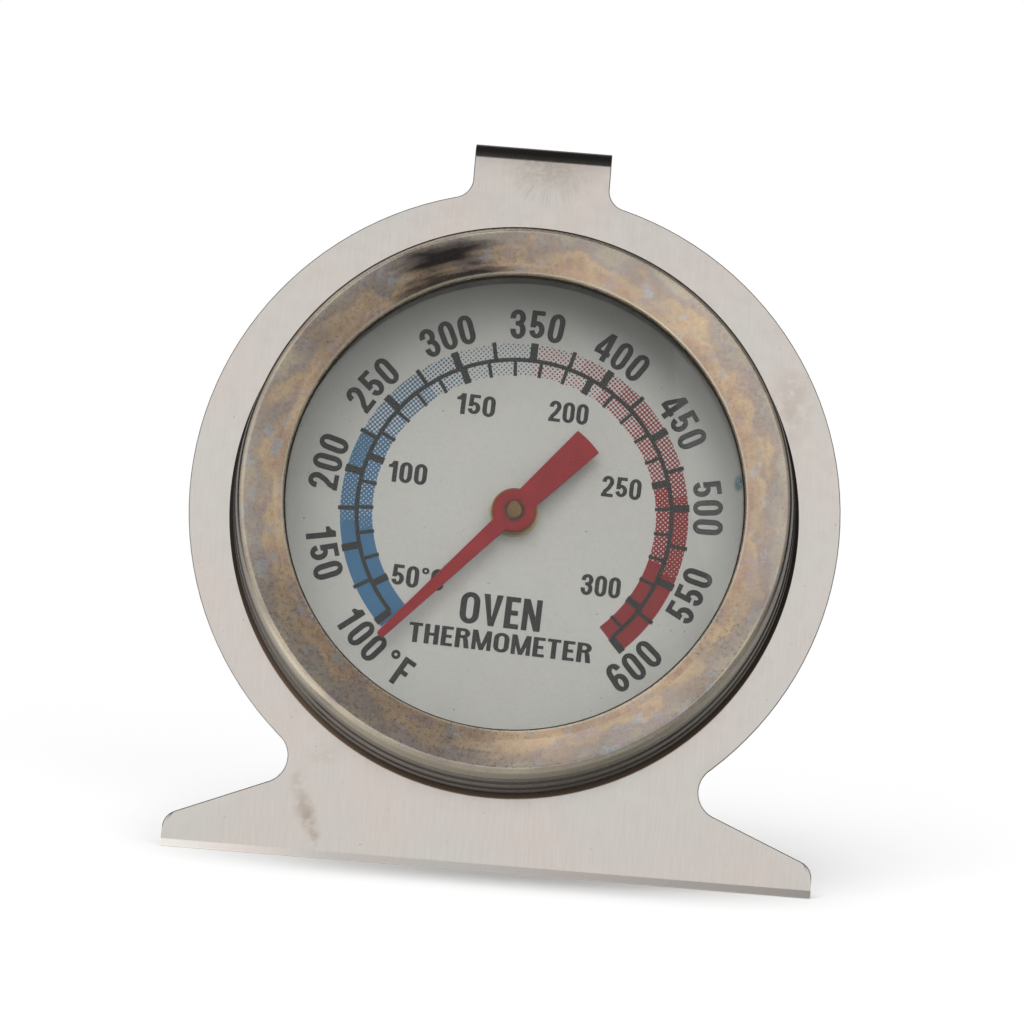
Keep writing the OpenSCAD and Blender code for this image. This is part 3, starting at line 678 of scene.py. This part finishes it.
def bezel_outline():
    """Section of the bezel: rim, stepped skirt, crown sloping in, rolled lip."""
    rim, lip, top = bezel.r1, bezel.r0, bezel.high
    lip_low = lens.high + 0.5
    sheet = 0.45
    return rounded([
        (rim, 0.0, 0.1), (rim, 0.5, 0.2), (rim - 0.42, 0.75, 0.1),
        (rim - 0.55, 3.2, 0.1), (rim - 0.72, 3.5, 0.1), (rim - 0.85, 5.6, 0.1),
        (rim - 1.02, 5.9, 0.1), (rim - 1.12, 8.1, 0.04), (rim - 1.26, 8.22, 0.03),
        (rim - 1.12, 8.34, 0.04), (rim - 1.42, 10.5, 0.5), (rim - 1.85, top, 0.35),
        (lip + 1.0, lip_low + 1.12, 0.8), (lip + 0.1, lip_low + 0.75, 0.25),
        (lip, lip_low, 0.1), (lip + 0.3, lip_low, 0.05),
        (lip + 0.55, lip_low + 0.5, 0.1),
        (rim - 2.1, top - sheet - 0.1, 0.1), (rim - 1.58, 8.3, 0.05),
        (rim - 1.58, 6.8, 0.05), (rim - 1.2, 4.0, 0.1), (rim - 0.95, 1.8, 0.1),
        (rim - 0.45, 0.0, 0.05)], 5)


def coil_piece(material):
    """The bimetal coil, winding between its fixed outer end and the spindle."""
    node = "bimetal_coil"
    mesh = frame["nodes"][node].data.copy()
    obj = finish_piece("bimetal_coil_strip", mesh, material, None, 40)
    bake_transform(obj)
    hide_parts(node)
    return obj


# -------------------------------------------------------------------- print
def arc(cx, cy, rx, ry, start, end, steps=10):
    """Points on an ellipse, angles in degrees counter-clockwise from the right."""
    return [(cx + rx * math.cos(math.radians(start + (end - start) * k / steps)),
             cy + ry * math.sin(math.radians(start + (end - start) * k / steps)))
            for k in range(steps + 1)]


def box(x0, y0, x1, y1):
    return [(x0, y0), (x1, y0), (x1, y1), (x0, y1)]


# Characters are drawn one unit tall
SX, SY = 0.094, 0.078    # half stroke widths of uprights and of bars
W = 0.52                 # width of a digit
TOP_BOWL, LOW_BOWL, BOWL = 0.70, 0.30, 0.30    # centres and radius of an O's round ends


def ribbon(path, closed=False):
    """Quads along a centre line, SX to each side across and SY up and down."""
    pts = [np.array(p, float) for p in path]
    if closed:
        pts = pts[:-1]
    n = len(pts)
    sides = []
    for i, p in enumerate(pts):
        ahead = pts[(i + 1) % n] if closed or i < n - 1 else p
        behind = pts[i - 1] if closed or i > 0 else p
        d = (ahead - behind) / np.linalg.norm(ahead - behind)
        off = np.array([-d[1] * SX, d[0] * SY])
        sides.append((tuple(p + off), tuple(p - off)))
    count = n if closed else n - 1
    return [[sides[i][0], sides[(i + 1) % n][0], sides[(i + 1) % n][1], sides[i][1]]
            for i in range(count)]


def glyph(char):
    """(width, list of convex or simple polygons) for one character, 1 tall."""
    c, rx = W / 2, W / 2 - SX
    cap, low = 1 - SY, SY
    waist = 0.53
    if char in "0O":
        w = W if char == "0" else 0.58
        c, rx = w / 2, w / 2 - SX
        loop = (arc(c, TOP_BOWL, rx, BOWL - SY, 0, 180)
                + arc(c, LOW_BOWL, rx, BOWL - SY, 180, 360))
        return w, ribbon(loop + loop[:1], True)
    if char == "1":
        return 0.40, [box(0.20, 0, 0.39, 1),
                      [(0.20, 0.68), (0.20, 0.86), (0.25, 1.0), (0.20, 1.0), (0.13, 0.86),
                       (0.02, 0.80), (0.02, 0.68)]]
    if char == "2":
        path = arc(c, 0.72, rx, 0.28 - SY, 188, -28, 14)
        path += [(0.30, 0.42), (0.17, 0.27), (0.11, 0.10)]
        return W, ribbon(path) + [box(0, 0, W, 2 * SY)]
    if char == "3":
        up, dn = (cap + waist) / 2, (waist + low) / 2
        upper = arc(c, up, rx, cap - up, 190, -90, 16)
        lower = arc(c, dn, rx, waist - dn, 90, -190, 16)
        return W, ribbon(upper) + ribbon(lower) + [box(c - 0.08, waist - SY, c, waist + SY)]
    if char == "4":
        return 0.54, [box(0.29, 0, 0.29 + 2 * SX, 1), box(0, 0.20, 0.54, 0.20 + 2 * SY),
                      [(0, 0.20), (0.17, 0.20), (0.17, 0.36), (0.31, 0.74), (0.31, 1.0),
                       (0.27, 1.0), (0, 0.40)]]
    if char == "5":
        dn = (0.63 + low) / 2
        bowl = arc(c, dn, rx, 0.63 - SY - dn + 0.02, 155, -170, 18)
        back = [(0.05, 1.0), (0.03, 0.42), (0.02 + 2 * SX, 0.42), (0.05 + 2 * SX, 1.0)]
        return W, ribbon(bowl) + [box(0.05, 1 - 2 * SY, W - 0.03, 1), back]
    if char == "6":
        mid = (0.60 - SY + low) / 2 + 0.01
        loop = arc(c, mid, rx, mid - low, 0, 360, 20)
        over = [(SX, mid)] + arc(c, TOP_BOWL, rx, BOWL - SY, 180, 8, 12)
        return W, ribbon(loop, True) + ribbon(over)
    if char == "C":
        w = 0.56
        c, rx = w / 2, w / 2 - SX
        path = arc(c, TOP_BOWL, rx, BOWL - SY, 5, 180) + arc(c, LOW_BOWL, rx, BOWL - SY, 180, 355)
        return w, ribbon(path)
    if char == "o":   # degree ring
        inner, outer = (arc(0.16, 0.84, 0.115 * k, 0.115 * k, 0, 360, 16) for k in (0.45, 1.35))
        return 0.32, [[outer[k], outer[k + 1], inner[k + 1], inner[k]] for k in range(16)]
    if char in "EF":
        w = 0.44
        arms = [box(0, 1 - 2 * SY, w, 1), box(0, 0.5 - SY, w - 0.05, 0.5 + SY)]
        if char == "E":
            arms.append(box(0, 0, w, 2 * SY))
        return w, [box(0, 0, 2 * SX, 1)] + arms
    if char == "T":
        w = 0.50
        return w, [box(0, 1 - 2 * SY, w, 1), box(w / 2 - SX, 0, w / 2 + SX, 1)]
    if char == "H":
        w = 0.54
        return w, [box(0, 0, 2 * SX, 1), box(w - 2 * SX, 0, w, 1), box(0, 0.5 - SY, w, 0.5 + SY)]
    if char == "V":
        w = 0.58
        left = [(0, 1), (w / 2 - SX * 0.9, 0), (w / 2 + SX * 0.4, 0.0), (w / 2, 0.28), (2 * SX, 1)]
        return w, [left, [(w - px, py) for px, py in left[::-1]]]
    if char == "N":
        w = 0.56
        return w, [box(0, 0, 1.8 * SX, 1), box(w - 1.8 * SX, 0, w, 1),
                   [(0, 1), (w - 2 * SX, 0), (w, 0), (2 * SX, 1)]]
    if char == "M":
        w = 0.72
        left = [(0, 1), (w / 2 - SX * 0.8, 0), (w / 2 + SX * 0.8, 0), (2 * SX, 1)]
        return w, [box(0, 0, 1.7 * SX, 1), box(w - 1.7 * SX, 0, w, 1),
                   left, [(w - px, py) for px, py in left[::-1]]]
    if char == "R":
        w = 0.54
        bowl_r = 0.255 - SY
        path = [(SX, cap), (w - SX - bowl_r, cap)]
        path += arc(w - SX - bowl_r * 0.9, 0.745, bowl_r * 0.9, bowl_r, 90, -90, 10)
        path += [(SX, 0.745 - bowl_r)]
        leg = [(w - 2.1 * SX - 0.06, 0.52), (w - 2 * SX, 0), (w, 0), (w - 0.06, 0.44),
               (w - 0.10, 0.52)]
        return w, ribbon(path) + [box(0, 0, 2 * SX, 1), leg]
    raise ValueError(char)


def turned(x, y, degrees):
    """Point turned clockwise about the dial's centre."""
    a = math.radians(degrees)
    return x * math.cos(a) + y * math.sin(a), -x * math.sin(a) + y * math.cos(a)


def line_of_text(text, x, y, height, width):
    """Upright text centred on (x, y), squeezed to the given width."""
    made = [glyph(ch) for ch in text]
    natural = sum(w for w, _ in made) + LETTER_GAP * (len(made) - 1)
    squeeze = width / (natural * height)
    polys, at = [], -natural / 2
    for w, shapes in made:
        polys += [[(x + (at + px) * squeeze * height, y + (py - 0.5) * height)
                   for px, py in shape] for shape in shapes]
        at += w + LETTER_GAP
    return polys


def curved_text(text, angle, radius, height, pitch, outward):
    """Characters set round the dial, their tops outward or towards the centre."""
    polys = []
    middle = (len(text) - 1) / 2
    for i, ch in enumerate(text):
        w, shapes = glyph(ch)
        along = math.degrees((i - middle) * pitch / radius)
        at = angle + (along if outward else -along)
        for shape in shapes:
            flat = [((px - w / 2) * height, (py - 0.5) * height) for px, py in shape]
            if outward:
                polys.append([turned(px, radius + py, at) for px, py in flat])
            else:
                polys.append([turned(-px, radius - py, at) for px, py in flat])
    return polys


def sector(r0, r1, a0, a1, steps):
    """Polygons of a ring sector, angles clockwise from the top."""
    cuts = [a0 + (a1 - a0) * k / steps for k in range(steps + 1)]
    return [[turned(0, r0, p), turned(0, r1, p), turned(0, r1, q), turned(0, r0, q)]
            for p, q in zip(cuts, cuts[1:])]


def tick(angle, r0, r1, width):
    half = width / 2
    return [turned(px, py, angle) for px, py in ((-half, r0), (half, r0), (half, r1), (-half, r1))]


def at_f(temp):
    return (temp - MID_F) * PER_F


def at_c(temp):
    return at_f(temp * 1.8 + 32)


NUMERAL_R, NUMERAL_H, NUMERAL_PITCH = 19.1, 2.98, 1.92
DEGREE_AT, LETTER_AT = -147.2, -152.2    # angles of the degree sign and the F
OUTWARD = (200, 500)                     # from 200 to 500 the numerals' tops point outwards
UPRIGHT = [
    # text, centre x, centre y, height, width
    ("50oC", -8.6, -7.40, 2.15, 5.2),
    ("100", -10.94, 2.82, 2.1, 3.9), ("150", -5.08, 10.38, 2.1, 3.9),
    ("200", 4.13, 10.74, 2.1, 3.9), ("250", 10.19, 3.89, 2.1, 3.9),
    ("300", 9.31, -6.07, 2.1, 3.9),
    ("OVEN", -0.13, -9.75, 3.15, 8.0), ("THERMOMETER", 0.17, -12.8, 1.95, 18.0)]
ARC_HALF = 0.21                # half width of the line between the bands
BOLD_F, THIN_F = 0.74, 0.40    # widths of the outer ticks
BOLD_C, THIN_C = 0.70, 0.35    # and of the inner ones
LETTER_GAP = 0.085


def registered(polys):
    """The print as it sits on the dial, a little below the spindle's centre."""
    return [[(px, py - PRINT_DROP) for px, py in poly] for poly in polys]


def black_print():
    """Every black mark on the dial as simple polygons."""
    polys = sector(BAND_MID - ARC_HALF, BAND_MID + ARC_HALF, at_f(100), at_f(600), 180)
    for f in range(100, 601, 25):
        past, width = (0.12, BOLD_F) if f % 50 == 0 else (0.2, THIN_F)
        polys.append(tick(at_f(f), BAND_MID, BAND_OUT + past, width))
    for c in range(50, 311, 10):
        polys.append(tick(at_c(c), BAND_IN - 0.1, BAND_MID, BOLD_C if c % 50 == 0 else THIN_C))
    round_dial = [(str(f), at_f(f), OUTWARD[0] <= f <= OUTWARD[1]) for f in range(100, 601, 50)]
    round_dial += [("o", DEGREE_AT, False), ("F", LETTER_AT, False)]
    for text, angle, outward in round_dial:
        polys += curved_text(text, angle, NUMERAL_R, NUMERAL_H, NUMERAL_PITCH, outward)
    for text, x, y, height, width in UPRIGHT:
        polys += line_of_text(text, x, y, height, width)
    return registered([[turned(px, py, PRINT_TURN) for px, py in poly] for poly in polys])


def printed(name, polys, level, thick, material):
    """A thin layer of ink: the union of flat polygons, closed at its sides."""
    verts, faces = [], []
    for poly in polys:
        area = sum(a[0] * b[1] - b[0] * a[1] for a, b in zip(poly, poly[1:] + poly[:1]))
        faces.append(list(range(len(verts), len(verts) + len(poly))))
        verts += [Vector(p) for p in (poly if area > 0 else poly[::-1])]
    flat, _, tris, _, _, sources = delaunay_2d_cdt(verts, [], faces, 1, 1e-4)
    tris = [t if (flat[t[1]] - flat[t[0]]).cross(flat[t[2]] - flat[t[0]]) > 0 else t[::-1]
            for t, source in zip(tris, sources) if source]
    n = len(flat)
    points = [(p.x, p.y, level + thick) for p in flat] + [(p.x, p.y, level) for p in flat]
    solid = [tuple(t) for t in tris] + [tuple(i + n for i in t[::-1]) for t in tris]
    edges = {(a, b) for t in tris for a, b in zip(t, t[1:] + t[:1])}
    solid += [(b, a, a + n, b + n) for a, b in edges if (b, a) not in edges]
    return new_piece(name, points, solid, material, FIXED, 30)


INK_T = 0.012                       # the black is twice as thick, so it covers the bands
BAND_LIFT, BLACK_LIFT = 0.001, 0.004
band_polys = []
for low, high in ((BAND_IN, BAND_MID), (BAND_MID, BAND_OUT)):
    band_polys += sector(low, high, BAND_START + PRINT_TURN, BAND_END + PRINT_TURN, 180)
printed("scale_bands", registered(band_polys), dial.high + BAND_LIFT, INK_T, band_ink())
printed("dial_print_black", black_print(), dial.high + BLACK_LIFT, 2 * INK_T, black_ink())

aged = plain_metal("aged_brass", (0.15, 0.085, 0.035, 1), 0.40, (0.09, 0.055, 0.03, 1))
brass = plain_metal("dull_brass", (0.40, 0.31, 0.13, 1), 0.36, (0.24, 0.18, 0.09, 1))
steel = plain_metal("plain_steel", (0.52, 0.51, 0.50, 1), 0.34, (0.36, 0.34, 0.32, 1))
can = plain_metal("can_sheet_steel", (0.58, 0.55, 0.51, 1), 0.30, (0.44, 0.39, 0.33, 1),
                  (1, 1, 0.2))
coil_metal = plain_metal("bimetal_strip", (0.40, 0.37, 0.33, 1), 0.38, (0.30, 0.24, 0.18, 1),
                         (0.3, 0.3, 4))
spacer_grey = plain_metal("spacer_grey", (0.30, 0.30, 0.28, 1), 0.5, (0.24, 0.24, 0.23, 1))
sheared = plain_metal("sheared_edge", (0.30, 0.29, 0.28, 1), 0.4, (0.16, 0.14, 0.13, 1))

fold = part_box("stand_plate")[0] / MM
FOLD_REACH = 1.6
STAND_ROUND, POINTER_ROUND = 0.09, 0.05


def in_fold(corner):
    """Whether a corner is in the tight fold between plate and foot."""
    return corner.y < fold.y + FOLD_REACH and corner.z < fold.z + FOLD_REACH


refined("stand_plate", "stand_sheet_folded", STAND_ROUND, stand_steel(),
        sheared, in_fold)
bezel_shell = lathe("bezel_shell", bezel_outline(), bezel_steel())
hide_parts("bezel_ring")
refined("pointer", "pointer_blade", POINTER_ROUND, pointer_red())
coil_piece(coil_metal)

CARRIED = {
    "case_can": can, "retaining_ring": steel, "lens_cushion": cushion_fibre(),
    "glass_lens": lens_glass(), "spacer_ring": spacer_grey, "dial_plate": dial_metal(),
    "movement_bridge": steel, "front_bush": brass, "rear_bush": brass,
    "front_washer": steel, "rear_washer": steel, "spindle": aged,
    "spindle_clip": steel, "coil_collet": brass, "coil_rivet": steel,
    "pointer_hub": aged,
}
for node, material in CARRIED.items():
    frame["nodes"][node].data.materials[0] = material


# ------------------------------------------------------------------- studio
# Floor: how bright reflections see it, away from the foot and close to it
FLOOR_SEEN, FLOOR_NEAR = 0.42, 0.50
NEAR_FOOT = (0.0, -0.01, 0.16, 0.045, 0.7)
# Its factor from left to right: metres, factor. In the ramp the factors are divided
# by FLOOR_TOP, which keeps them under 1, and they are multiplied by it afterwards.
FLOOR_SIDE = 0.2
FLOOR_TOP = 4.0
FLOOR_ACROSS = [(-0.2, 1.8), (-0.07, 2.6), (-0.04, 3.4), (-0.015, 1.65), (0.0, 1.45),
                (0.04, 0.83), (0.08, 0.66), (0.2, 0.7)]
# Dark patch in front that the bezel's upper left reflects: where it is, and the
# factor that takes FLOOR_TOP's place in it
DARK_PATCH, DARK_FACTOR = (0.023, -0.100, 0.026, 0.055, 0.45), 0.13
# The camera sees the floor fade to white from the middle outwards
WHITE_FADE = (0.0, 0.0, 0.16, 0.16, 0.15)
FLOOR_RADIUS, FLOOR_SIDES, FLOOR_DROP = 3.0, 48, 2e-5


def floor():
    """Pale floor; reflections see it brighter on the left, with one dark patch."""
    look = Look("studio_floor", roughness=0.9)
    p = look.add("ShaderNodeTexCoord").outputs["Object"]
    pale = look.ramp(look.noise(p, 2.0, 2), [(0.3, (0.88,) * 3), (0.7, (0.9,) * 3)])
    look.put("Base Color", pale)
    path = look.add("ShaderNodeLightPath")
    level = look.step(look.spot(p, *NEAR_FOOT), 0.0, 1.0, FLOOR_SEEN, FLOOR_NEAR)
    across = look.math("MULTIPLY_ADD", look.split(p)[0], 0.5 / FLOOR_SIDE, 0.5)
    level = look.math("MULTIPLY", level, look.ramp(across, [
        (0.5 + 0.5 * at / FLOOR_SIDE, (v / FLOOR_TOP,) * 3) for at, v in FLOOR_ACROSS]))
    dark = look.spot(p, *DARK_PATCH)
    level = look.math("MULTIPLY", level, look.step(dark, 0.0, 1.0, FLOOR_TOP, DARK_FACTOR))
    seen = look.add("ShaderNodeEmission")
    look.feed(seen.inputs["Color"], look.join(level, level, level))
    reflected = look.blend_shaders(path.outputs["Is Glossy Ray"], look.bsdf, seen)
    faded = look.math("ADD", look.math("MULTIPLY", look.spot(p, *WHITE_FADE), -1.0), 1.0)
    faded = look.math("MULTIPLY", faded, path.outputs["Is Camera Ray"])
    last = look.blend_shaders(faded, reflected, look.add("ShaderNodeEmission"))
    look.tree.links.new(last.outputs[0], look.out.inputs["Surface"])
    mesh = bpy.data.meshes.new("studio_floor")
    rim = [2 * math.pi * k / FLOOR_SIDES for k in range(FLOOR_SIDES)]
    rim = [(FLOOR_RADIUS * math.cos(a), FLOOR_RADIUS * math.sin(a), -FLOOR_DROP) for a in rim]
    mesh.from_pydata(rim, [], [list(range(FLOOR_SIDES))])
    mesh.materials.append(look.mat)
    obj = bpy.data.objects.new("studio_floor", mesh)
    bpy.context.scene.collection.objects.link(obj)


def towards(azimuth, elevation):
    """Unit vector from the object, azimuth from the front to the right, in degrees."""
    a, e = math.radians(azimuth), math.radians(elevation)
    return Vector((math.sin(a) * math.cos(e), -math.cos(a) * math.cos(e), math.sin(e)))


def softbox(name, azimuth, elevation, distance, size, power):
    """Area light aimed at the dial; it lights, but isn't seen in reflections."""
    light = bpy.data.lights.new(name, "AREA")
    light.shape = "DISK"
    light.size = size
    light.energy = power
    obj = bpy.data.objects.new(name, light)
    bpy.context.scene.collection.objects.link(obj)
    back = towards(azimuth, elevation)
    obj.location = CENTRE + back * distance
    obj.rotation_mode = "QUATERNION"
    obj.rotation_quaternion = (-back).to_track_quat("-Z", "Y")
    obj.visible_glossy = False
    return obj


# Brightness of the front wall at these elevations, in degrees
WALL = [(0, 0.84), (10, 0.88), (17, 0.96), (23, 1.03), (31, 0.98), (34, 0.05), (90, 0.05)]
# Where the front wall ends, as the direction's y, and where its right side
# starts and is full, as the direction's x, with the right's share of the left
WALL_ENDS, RIGHT_SIDE, RIGHT_WALL = (-0.15, 0.25), (0.35, 0.80), 0.50
# Brightness of the back, low and high, and the elevations where it changes
BACK, BACK_HIGH, BACK_FADE = 0.30, 0.05, (35, 50)
SOFT = 0.36    # even light that everything but reflections gets


def surroundings():
    """Plain room: white to the camera, a bright front wall in reflections."""
    world = bpy.data.worlds.new("studio")
    bpy.context.scene.world = world
    world.use_nodes = True
    look = Look.__new__(Look)
    look.tree = world.node_tree
    look.tree.nodes.clear()
    out = look.add("ShaderNodeOutputWorld")
    direction = look.add("ShaderNodeTexCoord").outputs["Generated"]
    x, y, z = look.split(direction)
    elevation = look.math("DEGREES", look.math("ARCSINE", z))
    front = look.step(y, *WALL_ENDS, 1.0, 0.0)
    wall = look.ramp(look.math("DIVIDE", elevation, 90.0), [
        (at / 90, (v,) * 3) for at, v in WALL])
    # The bezel's flanks reflect opposite sides of the room
    wall = look.math("MULTIPLY", wall, look.step(x, *RIGHT_SIDE, 1.0, RIGHT_WALL))
    back = look.step(elevation, *BACK_FADE, BACK, BACK_HIGH)
    level = look.math("MULTIPLY_ADD", look.math("SUBTRACT", wall, back), front, back)
    glossy, soft, white = (look.add("ShaderNodeBackground") for _ in range(3))
    look.feed(glossy.inputs["Color"], look.join(level, level, level))
    soft.inputs["Color"].default_value = (SOFT, SOFT, SOFT, 1)
    white.inputs["Color"].default_value = (1, 1, 1, 1)
    path = look.add("ShaderNodeLightPath")
    lit = look.blend_shaders(path.outputs["Is Glossy Ray"], soft, glossy)
    last = look.blend_shaders(path.outputs["Is Camera Ray"], lit, white)
    look.tree.links.new(last.outputs[0], out.inputs["Surface"])


# Softboxes: name, azimuth, elevation, distance, size, power
SOFTBOXES = [("key", -20, 50, 1.2, 0.9, 7.5), ("fill", 25, 25, 1.2, 0.9, 3.5),
             ("top", 0, 88, 1.2, 1.0, 8)]
BEZEL_CARD = ("bezel_card", -75, 64, 0.8, 0.78, 1.35)

floor()
surroundings()
for box_settings in SOFTBOXES:
    softbox(*box_settings)
# One panel overhead that only the bezel sees, as a card would be set by hand
card = softbox(*BEZEL_CARD)
card.visible_glossy = True
only = bpy.data.collections.new("seen_by_bezel_card")
only.objects.link(bezel_shell)
card.light_linking.receiver_collection = only

CAMERA_AZIMUTH, CAMERA_ELEVATION, CAMERA_ROLL = 0.57, 2.7, 4.6
CAMERA_DISTANCE, CAMERA_LENS = 0.400, 142.4
SENSOR_WIDTH, CLIP_NEAR, CLIP_FAR = 36, 0.01, 20
AIM = (-0.24, 0.28, 0.0)


def camera():
    data = bpy.data.cameras.new("camera")
    data.sensor_width = SENSOR_WIDTH
    data.lens = CAMERA_LENS
    obj = bpy.data.objects.new("camera", data)
    bpy.context.scene.collection.objects.link(obj)
    back = towards(CAMERA_AZIMUTH, CAMERA_ELEVATION)
    obj.location = place(*AIM) + back * CAMERA_DISTANCE
    obj.rotation_mode = "QUATERNION"
    roll = Quaternion((0, 0, 1), math.radians(CAMERA_ROLL))
    obj.rotation_quaternion = (-back).to_track_quat("-Z", "Y") @ roll
    data.clip_start, data.clip_end = CLIP_NEAR, CLIP_FAR
    bpy.context.scene.camera = obj


camera()
bpy.context.scene.view_settings.view_transform = "Standard"
